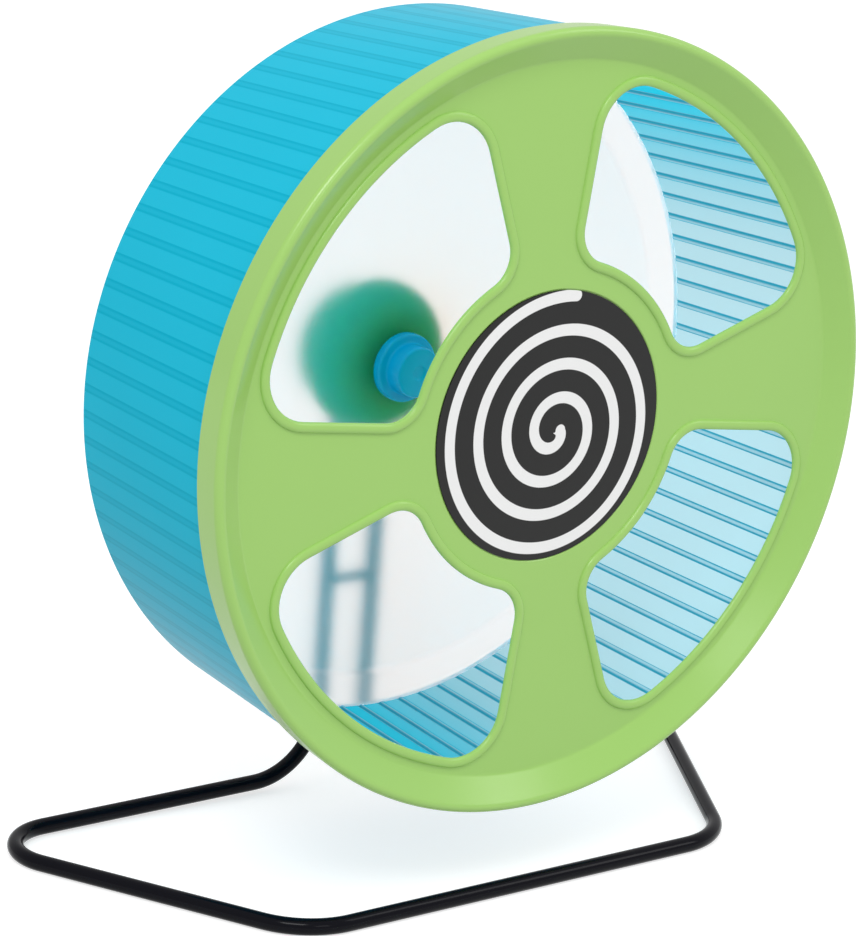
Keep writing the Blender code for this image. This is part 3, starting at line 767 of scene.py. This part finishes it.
def guard_shape():
    """The guard: rim, label recess, four beaded windows, and flat plate filled in between them."""
    sizes = wheel()
    steps = 360
    shape = bmesh.new()
    crest = sizes.rim_radius - sizes.rim_round
    slope_start = crest - sizes.rim_slope
    skirt_rear = sizes.rim_radius - sizes.rim_draft
    wall = sizes.guard_wall
    lean = wall * math.tan(math.atan2(sizes.rim_height, sizes.rim_slope) / 2)
    skirt_inside, chamfer = skirt_rear - sizes.skirt_wall, 0.0002
    round_middle = -sizes.rim_height + sizes.rim_round
    ease, ease_drop, ease_rounds = 0.0012, 0.00004, [0.0010, 0.0008]
    profile = [(slope_start, 0.0), (slope_start + ease, -ease_drop)]
    profile += [(crest - sizes.rim_round * 0.55, -sizes.rim_height + sizes.rim_round * 0.16)]
    crest_start = -math.pi * 0.58
    profile += arc((crest, round_middle), sizes.rim_round, crest_start, 0.0, 10)
    profile += [
        (skirt_rear, sizes.skirt_depth - fine),
        (skirt_rear - fine, sizes.skirt_depth),
        (skirt_inside + chamfer, sizes.skirt_depth),
        (skirt_inside, sizes.skirt_depth - chamfer),
        (skirt_inside, round_middle + wall),
        (crest + lean - wall, round_middle + wall / 2),
        (slope_start + lean, wall),
    ]
    amounts = ease_rounds + [0.0] * (len(profile) - 4)
    rim = add_strip(shape, [ring_points(*point, steps) for point in rounded(profile, amounts)])
    recess = sizes.label_radius + sizes.gap
    floor = sizes.label_thickness + sizes.gap
    recess_edge = 0.0004
    dish = [(recess + recess_edge, 0.0), (recess, fine), (recess, floor)]
    plate = add_strip(shape, [ring_points(*point, steps) for point in dish])
    cap_ring(shape, plate[-1], floor)
    width, height = sizes.bead_width, sizes.bead_height
    bead_foot, foot_height, fullness = 0.0006, 0.00005, 0.8
    window_round, window_edge = 0.0004, 0.0007
    bead = [(width + bead_foot, 0.0), (width, -foot_height)]
    bead += [
        (width * (0.5 + 0.5 * math.cos(step)), -height * math.sin(step) ** fullness)
        for step in (0.35, 0.7, 1.05, 1.4, 1.75, 2.1, 2.45, 2.8)
    ]
    bead += [(0.0, 0.0), (0.0, fine), (window_round, window_edge), (width * 0.53, wall)]
    front_edges = ring_edges(rim[0]) + ring_edges(plate[0])
    back_edges = ring_edges(rim[-1])
    windows = 4
    for window in range(windows):
        turn = math.tau * (window + 0.5) / windows
        rows = add_strip(
            shape, [[(x, depth, z) for x, z in window_outline(turn, grow)] for grow, depth in bead]
        )
        front_edges += ring_edges(rows[0])
        back_edges += ring_edges(rows[-1])
    for edges, facing in ((front_edges, -1.0), (back_edges, 1.0)):
        bmesh.ops.triangle_fill(shape, edges=edges, use_beauty=True, normal=(0.0, facing, 0.0))
    return shape


def drum_radius(depth):
    sizes = wheel()
    share = (depth - sizes.track_start) / (sizes.track_length - sizes.track_start)
    return sizes.track_front + (sizes.track_rear - sizes.track_front) * share


def drum_shape():
    """The drum: a smooth tapered outside, and rounded ribs inside that end in small noses."""
    sizes = wheel()
    half_rib = sizes.rib_width / 2 / sizes.track_rear
    pitch = math.tau / sizes.rib_count
    across = [(-1.0, 0.0), (-0.86, 0.22), (-0.66, 0.70), (-0.40, 0.94), (0.0, 1.0)]
    across += [(-side, height) for side, height in reversed(across[:-1])]
    columns = []
    between = pitch - 2 * half_rib
    for rib in range(sizes.rib_count):
        middle = sizes.rib_turn + pitch * rib
        columns += [(middle + side * half_rib, height) for side, height in across]
        columns += [(middle + half_rib + between * share, 0.0) for share in (0.33, 0.67)]
    end = sizes.track_length - sizes.wall_thickness - sizes.band_height - sizes.gap

    def row(depth, inset, height=0.0):
        found = []
        for angle, raised in columns:
            reach = drum_radius(depth) - inset - height * raised
            found.append((reach * math.cos(angle), depth, reach * math.sin(angle)))
        return found

    wall, nose, height = sizes.track_wall, sizes.rib_nose, sizes.rib_height
    start, rear = sizes.track_start, sizes.track_length
    rings = [
        row(start + fine, 0.0),
        row((start + rear) / 2, 0.0),
        row(rear - fine, 0.0),
        row(rear - fine * 0.3, fine * 0.3),
        row(rear, fine),
        row(rear, wall - fine),
        row(rear - fine, wall),
        row(end, wall),
    ]
    rings += [
        row(end - nose * (1 - math.cos(angle)), wall, height * math.sin(angle))
        for angle in (0.4, 0.8, 1.2, math.pi / 2)
    ]
    rings += [row(start + rear / 2, wall, height), row(start, wall, height), row(start, fine)]
    shape = bmesh.new()
    add_strip(shape, rings, True)
    return shape


def wall_shape():
    sizes = wheel()
    front = sizes.track_length - sizes.wall_thickness
    band_front = front - sizes.band_height
    band_inner = drum_radius(front) - sizes.track_wall - sizes.band_width
    bore, front_ring, back_ring = 0.0032, 0.0150, 0.0232
    slope_foot, slope_top = 0.0006, 0.0010
    seat = sizes.track_wall + 0.00004
    profile = [
        (bore, sizes.track_length),
        (bore, front),
        (front_ring, front),
        (band_inner - slope_foot, front),
        (band_inner + slope_top, band_front),
        (drum_radius(band_front) - seat, band_front),
        (drum_radius(sizes.track_length) - seat, sizes.track_length),
        (back_ring, sizes.track_length),
    ]
    amounts = [0.0002, 0.0, 0.0012, 0.0012, 0.0005, fine]
    return turned_shape(rounded(profile, amounts), 360)


def cap_shape():
    sizes = hub()
    base_end = wheel().track_length - wheel().wall_thickness - wheel().gap
    base_front = base_end - sizes.cap_base_depth
    edge = sizes.cap_edge
    dimple, dimple_inner, dimple_outer = 0.0004, 0.0022, 0.0028
    profile = [
        (0.0, sizes.cap_front + dimple),
        (dimple_inner, sizes.cap_front + dimple),
        (dimple_outer, sizes.cap_front),
        (sizes.cap_radius, sizes.cap_front),
        (sizes.cap_radius, base_front),
        (sizes.cap_base_radius, base_front),
        (sizes.cap_base_radius, base_end),
        (sizes.cap_bore, base_end),
        (sizes.cap_bore, sizes.cap_front + sizes.cap_wall),
        (0.0, sizes.cap_front + sizes.cap_wall),
    ]
    amounts = [fine, dimple, edge, edge, edge, fine, fine, 0.0]
    return turned_shape(rounded(profile, amounts), 128)


def add_prism(shape, outline, start, end):
    add_bar(shape, [[(x, depth, z) for x, z in outline] for depth in (start, end)])


def carve(piece, shape, operation):
    """Cut a helper shape out of a piece, or join it on, and leave only the result."""
    helper = add_object("helper", shape)
    helper.matrix_world = piece.matrix_world
    step = piece.modifiers.new("carve", "BOOLEAN")
    step.operation = operation
    step.solver = "EXACT"
    step.object = helper
    bpy.context.view_layer.update()
    result = bpy.data.meshes.new_from_object(
        piece.evaluated_get(bpy.context.evaluated_depsgraph_get())
    )
    piece.modifiers.remove(step)
    used = (piece.data, helper.data)
    piece.data = result
    bpy.data.objects.remove(helper)
    for mesh in used:
        bpy.data.meshes.remove(mesh)


def screw_places():
    sizes = hub()
    return [
        (
            side * sizes.screw_circle * math.cos(sizes.screw_angle),
            level * sizes.screw_circle * math.sin(sizes.screw_angle),
        )
        for side in (-1, 1)
        for level in (-1, 1)
    ]


def channels():
    sizes, bent = hub(), stand()
    shape = bmesh.new()
    for side in (-1, 1):
        middle = (side * bent.upright_half, bent.wire_depth)
        outline = circle(bent.wire_radius + fine, 32, middle)
        heights = (-sizes.housing_radius - overrun, bent.upright_top + fine)
        add_bar(shape, [[(x, y, height) for x, y in outline] for height in heights])
    return shape


def housing_bowl_shape():
    sizes, parting = hub(), stand().wire_depth - wheel().gap / 2
    bowl_end = parting - sizes.housing_rim
    bowl_depth = bowl_end - sizes.housing_front
    tube = sizes.seat_radius + sizes.seat_wall
    inner = sizes.cover_radius - sizes.housing_wall
    inside = sizes.housing_radius - sizes.housing_wall
    hollow = (inside - sizes.nose_radius, bowl_depth - sizes.housing_wall)
    room = (inner - tube, bowl_depth - sizes.housing_wall * 2)
    collar = math.acos((sizes.cover_radius - sizes.nose_radius) / hollow[0])
    profile = [
        (sizes.mouth_radius, sizes.housing_front),
        *arc(
            (sizes.nose_radius, bowl_end),
            (sizes.housing_radius - sizes.nose_radius, bowl_depth),
            -math.pi / 2,
            0,
            22,
        ),
        (sizes.housing_radius, sizes.skirt_end - fine),
        (sizes.housing_radius - fine, sizes.skirt_end),
        (inside, sizes.skirt_end),
        *arc((sizes.nose_radius, bowl_end), hollow, 0, -collar, 6),
        (sizes.cover_radius, parting),
        (inner, parting),
        *arc((tube, bowl_end), room, 0, -math.pi / 2, 8),
        (tube, sizes.seat_back),
        (sizes.seat_radius, sizes.seat_back),
        (sizes.seat_radius, sizes.shoulder_back),
        (sizes.shoulder_radius, sizes.shoulder_back),
        (sizes.shoulder_radius, sizes.shoulder_front),
        (sizes.seat_radius, sizes.shoulder_front),
        (sizes.seat_radius, sizes.front_seat),
        (sizes.mouth_radius, sizes.front_seat),
    ]
    return turned_shape(profile, 120), bowl_end - bowl_depth / 2, parting


def housing_lid_shape():
    sizes, parting = hub(), stand().wire_depth + wheel().gap / 2
    inner = sizes.cover_radius - sizes.housing_wall
    inside = sizes.cover_back - sizes.housing_wall
    dish, dish_radius, corner, chamfer = 0.0006, 0.0140, 0.0008, 0.0002
    profile = [
        (0.0, inside),
        (inner - corner, inside),
        (inner, inside - corner),
        (inner, parting),
        (sizes.cover_radius - chamfer, parting),
        (sizes.cover_radius, parting + chamfer),
        *arc(
            (sizes.cover_radius - sizes.cover_edge, sizes.cover_back - sizes.cover_edge),
            sizes.cover_edge,
            0,
            math.pi / 2,
            12,
        ),
        (dish_radius, sizes.cover_back),
        (dish_radius - dish, sizes.cover_back - dish),
        (0.0, sizes.cover_back - dish),
    ]
    return turned_shape(profile, 120), parting, inside


def screw_shape(room, tip, slot):
    """A screw with its head's edge cut off, or with room round it the hole that it goes in."""
    sizes = hub()
    point, edge = 0.0010, 0.0005
    shank, head = sizes.screw_radius + room, sizes.screw_head_radius + room
    neck = sizes.cover_back - sizes.screw_head - room
    top = sizes.cover_back if slot else sizes.cover_back + overrun
    profile = [
        (0.0, tip),
        (sizes.screw_radius * 0.5 + room, tip),
        (shank, tip + point),
        (shank, neck),
        (head, neck),
        (head, top - edge),
        (head - edge, top),
        (0.0, top),
    ]
    return turned_shape(profile, 40)


def moved(shape, across, up):
    bmesh.ops.translate(shape, verts=shape.verts, vec=(across, 0.0, up))
    return shape


def rounded_path(corners, bends, steps):
    points = [corners[0]]
    for before, corner, after, bend in zip(corners, corners[1:], corners[2:], bends):
        into = (before - corner).normalized()
        out = (after - corner).normalized()
        half = into.angle(out) / 2
        centre = corner + (into + out).normalized() * bend / math.sin(half)
        first = corner + into * bend / math.tan(half) - centre
        last = corner + out * bend / math.tan(half) - centre
        sweep = first.angle(last)
        for step in range(steps + 1):
            angle = sweep * step / steps
            reach = first * math.sin(sweep - angle) + last * math.sin(angle)
            points.append(centre + reach / math.sin(sweep))
    points.append(corners[-1])
    return points


def wire_shape():
    sizes = stand()
    rear, front, low = sizes.wire_depth, -sizes.front_bar, sizes.wire_radius - axle.z
    half = [
        Vector((sizes.upright_half, rear, sizes.upright_top)),
        Vector((sizes.upright_half, rear, low + sizes.foot_lift)),
        Vector((sizes.rear_half, rear, low)),
        Vector((sizes.front_half, front, low)),
    ]
    corners = half + [Vector((-point.x, point.y, point.z)) for point in reversed(half)]
    bends = (sizes.foot_bend, sizes.rear_bend, sizes.front_bend)
    path = rounded_path(corners, bends + bends[::-1], 24)
    upright_share = 0.01
    side = Vector((0, 1, 0))
    rings = []
    for place, point in enumerate(path):
        inward = (point - path[place - 1]).normalized() if place else path[1] - path[0]
        outward = (path[place + 1] - point).normalized() if place < len(path) - 1 else inward
        middle = (inward.normalized() + outward).normalized()
        level = Vector((0, 0, 1)).cross(middle)
        if level.length > upright_share:
            side = level.normalized()
        up = middle.cross(side)
        rings.append([point + side * x + up * y for x, y in circle(sizes.wire_radius, 32)])
    shape = bmesh.new()
    add_bar(shape, rings)
    return shape


def crossbar_shape():
    """The short bar, with a small mound of weld where it meets each upright."""
    sizes = stand()
    end = sizes.upright_half - sizes.wire_radius * 0.6
    face = sizes.upright_half - sizes.wire_radius
    weld_length, weld_height = 0.0022, 0.0009
    line = []
    for share in range(25):
        along = -end + 2 * end * share / 24
        near = max(0.0, 1.0 - (face - abs(along)) / weld_length)
        line.append((sizes.crossbar_radius + weld_height * min(1.0, near) ** 2, along))
    rings = [
        [(along, sizes.wire_depth + x, -sizes.crossbar_drop + y) for x, y in circle(radius, 28)]
        for radius, along in line
    ]
    shape = bmesh.new()
    add_bar(shape, rings)
    return shape


class HAMSTER_OT_guard(bpy.types.Operator):
    """Build the green front guard"""

    bl_idname = "hamster.guard"
    bl_label = "Front Guard"

    def execute(self, context):
        finish_piece(
            "guard_shell", guard_shape(), guard_finish(), "wheel", ["front_guard"],
            wheel().turn,
        )
        return {"FINISHED"}


class HAMSTER_OT_label(bpy.types.Operator):
    """Build the printed label on the hub plate"""

    bl_idname = "hamster.label"
    bl_label = "Hub Label"

    def execute(self, context):
        radius, thickness = wheel().label_radius, wheel().label_thickness
        profile = [(0.0, 0.0), (radius, 0.0), (radius, thickness), (0.0, thickness)]
        shape = turned_shape(rounded(profile, [0.00015, 0.0]), 240)
        finish_piece(
            "label_disc", shape, label_finish(), "wheel", ["hub_label"],
            wheel().turn,
        )
        return {"FINISHED"}


class HAMSTER_OT_drum(bpy.types.Operator):
    """Build the ribbed drum and the frosted back wall"""

    bl_idname = "hamster.drum"
    bl_label = "Drum and Back Wall"

    def execute(self, context):
        drum = finish_piece(
            "ribbed_drum", drum_shape(), drum_outside_finish(), "wheel", ["running_track"],
            wheel().turn, sharp=50.0,
        )
        drum.data.materials.append(drum_inside_finish())
        for face in drum.data.polygons:
            out = Vector((face.center.x, 0.0, face.center.z))
            face.material_index = int(face.normal.dot(out) < 0.0)
        finish_piece(
            "frosted_wall", wall_shape(), wall_finish(), "wheel", ["back_wall"],
            wheel().turn,
        )
        return {"FINISHED"}


class HAMSTER_OT_hub_cap(bpy.types.Operator):
    """Build the stepped blue cap over the bolt head"""

    bl_idname = "hamster.hub_cap"
    bl_label = "Hub Cap"

    def execute(self, context):
        finish_piece(
            "stepped_cap", cap_shape(), cap_finish(), "wheel", ["hub_cap"],
            wheel().turn,
        )
        return {"FINISHED"}


class HAMSTER_OT_housing(bpy.types.Operator):
    """Build the bearing housing, its cover and the four screws"""

    bl_idname = "hamster.housing"
    bl_label = "Bearing Housing"

    def execute(self, context):
        sizes = hub()
        green = housing_finish()
        shape, post_start, parting = housing_bowl_shape()
        bowl = finish_piece(
            "housing_bowl", shape, green, "stand", ["bearing_housing"]
        )
        posts = bmesh.new()
        pilots = bmesh.new()
        tip = sizes.cover_back - sizes.screw_head - sizes.screw_length
        pilot_end = tip - overrun
        for place in screw_places():
            add_prism(posts, circle(sizes.post_radius, 32, place), post_start, parting - shy)
            outline = circle(sizes.screw_radius + fine, 20, place)
            add_prism(pilots, outline, pilot_end, parting + overrun)
        carve(bowl, posts, "UNION")
        carve(bowl, channels(), "DIFFERENCE")
        carve(bowl, pilots, "DIFFERENCE")

        shape, parting, inside = housing_lid_shape()
        lid = finish_piece(
            "housing_lid", shape, green, "stand", ["housing_cover"]
        )
        posts = bmesh.new()
        for place in screw_places():
            outline = circle(sizes.post_radius, 32, place)
            add_prism(posts, outline, parting + shy, inside + overrun)
        carve(lid, posts, "UNION")
        carve(lid, channels(), "DIFFERENCE")
        zinc = metal_finish("zinc screws", colours().zinc, 0.28)
        slot_sizes, slot_depth = (0.0015, 0.00035), 0.0009
        for number, (across, up) in enumerate(screw_places(), 1):
            hole = screw_shape(fine, parting - 2 * overrun, False)
            carve(lid, moved(hole, across, up), "DIFFERENCE")
            screw = finish_piece(
                "lid_screw_%d" % number, moved(screw_shape(0.0, tip, True), across, up), zinc,
                "stand", ["cover_screw_%d" % number],
            )
            for wide, tall in (slot_sizes, slot_sizes[::-1]):
                slot = bmesh.new()
                corners = [(-wide, -tall), (wide, -tall), (wide, tall), (-wide, tall)]
                outline = [(across + x, up + z) for x, z in corners]
                add_prism(slot, outline, sizes.cover_back - slot_depth, sizes.cover_back + overrun)
                carve(screw, slot, "DIFFERENCE")
        return {"FINISHED"}


class HAMSTER_OT_stand(bpy.types.Operator):
    """Build the bent wire and its welded crossbar"""

    bl_idname = "hamster.stand"
    bl_label = "Wire Stand"

    def execute(self, context):
        black = wire_finish()
        finish_piece(
            "bent_wire", wire_shape(), black, "stand", ["stand_wire"],
            even=False,
        )
        finish_piece(
            "welded_bar", crossbar_shape(), black, "stand", ["stand_crossbar"],
        )
        return {"FINISHED"}


class HAMSTER_OT_axle_parts(bpy.types.Operator):
    """Give the bolt, washers, nut and bearings their metal and nylon"""

    bl_idname = "hamster.axle_parts"
    bl_label = "Axle and Bearings"

    def execute(self, context):
        zinc = metal_finish("zinc plating", colours().zinc, 0.28)
        steel = metal_finish("bearing steel", colours().steel, 0.18)
        nylon = nylon_finish()
        for name, node in frame["nodes"].items():
            if node.hide_render:
                continue
            if "cage" in name:
                finish = nylon
            elif "bearing" in name or "sleeve" in name:
                finish = steel
            else:
                finish = zinc
            node.data.materials.clear()
            node.data.materials.append(finish)
        return {"FINISHED"}


def aimed(thing, target):
    direction = Vector(target) - thing.location
    thing.rotation_euler = direction.to_track_quat("-Z", "Y").to_euler()


def softbox(name, place, target, wide, tall, power):
    lamp = bpy.data.lights.new(name, "AREA")
    lamp.shape = "RECTANGLE"
    lamp.size = wide
    lamp.size_y = tall
    lamp.energy = power
    thing = bpy.data.objects.new(name, lamp)
    thing.location = place
    aimed(thing, target)
    bpy.context.scene.collection.objects.link(thing)


class HAMSTER_OT_stage(bpy.types.Operator):
    """Set up the camera, the floor, the white room and the lamps"""

    bl_idname = "hamster.stage"
    bl_label = "Studio"

    def execute(self, context):
        settings = context.scene.stage_settings
        camera = bpy.data.cameras.new("photo camera")
        camera.lens = settings.lens
        camera.sensor_width = 36.0
        camera.clip_start = 0.05
        camera.clip_end = 30.0
        thing = bpy.data.objects.new("photo camera", camera)
        thing.location = settings.camera
        thing.rotation_euler = settings.aim
        context.scene.collection.objects.link(thing)
        context.scene.camera = thing

        shape = bmesh.new()
        bmesh.ops.create_grid(shape, x_segments=1, y_segments=1, size=6.0)
        mesh = bpy.data.meshes.new("floor")
        shape.to_mesh(mesh)
        shape.free()
        floor = bpy.data.objects.new("floor", mesh)
        context.scene.collection.objects.link(floor)
        finish, tree, shader = new_finish("pale floor", specular=0.0)
        skinned(tree, shader, (settings.floor_tone,) * 3, 0.6, grain=40.0, unevenness=0.01)
        glow = tree.nodes.new("ShaderNodeEmission")
        put(tree, maths(tree, "MULTIPLY", seen(tree), settings.floor_glow), glow.inputs["Strength"])
        show(tree, add_shaders(tree, shader, glow))
        mesh.materials.append(finish)

        world = bpy.data.worlds.new("white room")
        world.use_nodes = True
        tree = world.node_tree
        room = tree.nodes["Background"]
        room.inputs["Color"].default_value = (1.0, 1.0, 1.0, 1.0)
        room.inputs["Strength"].default_value = settings.room_light
        backdrop = tree.nodes.new("ShaderNodeBackground")
        backdrop.inputs["Strength"].default_value = 1.0
        show(tree, blend_shaders(tree, seen(tree), room, backdrop), "World Output")
        context.scene.world = world

        middle = (0.0, 0.0, 0.17)
        softbox("key", (-0.9, -0.9, 1.5), middle, 0.8, 0.5, settings.key_light)
        softbox("side", (1.1, -1.0, 1.2), middle, 0.35, 1.1, settings.side_light)
        softbox("front", (-0.25, -1.7, 0.95), middle, 0.5, 0.35, settings.front_light)
        context.scene.view_settings.view_transform = "Standard"
        return {"FINISHED"}


PIECES = (
    HAMSTER_OT_guard,
    HAMSTER_OT_label,
    HAMSTER_OT_drum,
    HAMSTER_OT_hub_cap,
    HAMSTER_OT_housing,
    HAMSTER_OT_stand,
    HAMSTER_OT_axle_parts,
    HAMSTER_OT_stage,
)


class HAMSTER_PT_panel(bpy.types.Panel):
    """Lists the pieces in the sidebar"""

    bl_idname = "HAMSTER_PT_panel"
    bl_label = "Hamster Wheel"
    bl_space_type = "VIEW_3D"
    bl_region_type = "UI"
    bl_category = "Hamster Wheel"

    def draw(self, context):
        for piece in PIECES:
            self.layout.operator(piece.bl_idname)


GROUPS = {
    "wheel_sizes": WheelSizes,
    "hub_sizes": HubSizes,
    "stand_sizes": StandSizes,
    "wheel_colours": Colours,
    "stage_settings": StageSettings,
}


def register():
    for name, group in GROUPS.items():
        bpy.utils.register_class(group)
        setattr(bpy.types.Scene, name, PointerProperty(type=group))
    for piece in PIECES:
        bpy.utils.register_class(piece)
    bpy.utils.register_class(HAMSTER_PT_panel)


def unregister():
    bpy.utils.unregister_class(HAMSTER_PT_panel)
    for piece in reversed(PIECES):
        bpy.utils.unregister_class(piece)
    for name, group in GROUPS.items():
        delattr(bpy.types.Scene, name)
        bpy.utils.unregister_class(group)


def main():
    register()
    for piece in PIECES:
        group, name = piece.bl_idname.split(".")
        getattr(getattr(bpy.ops, group), name)()


if __name__ == "__main__":
    main()
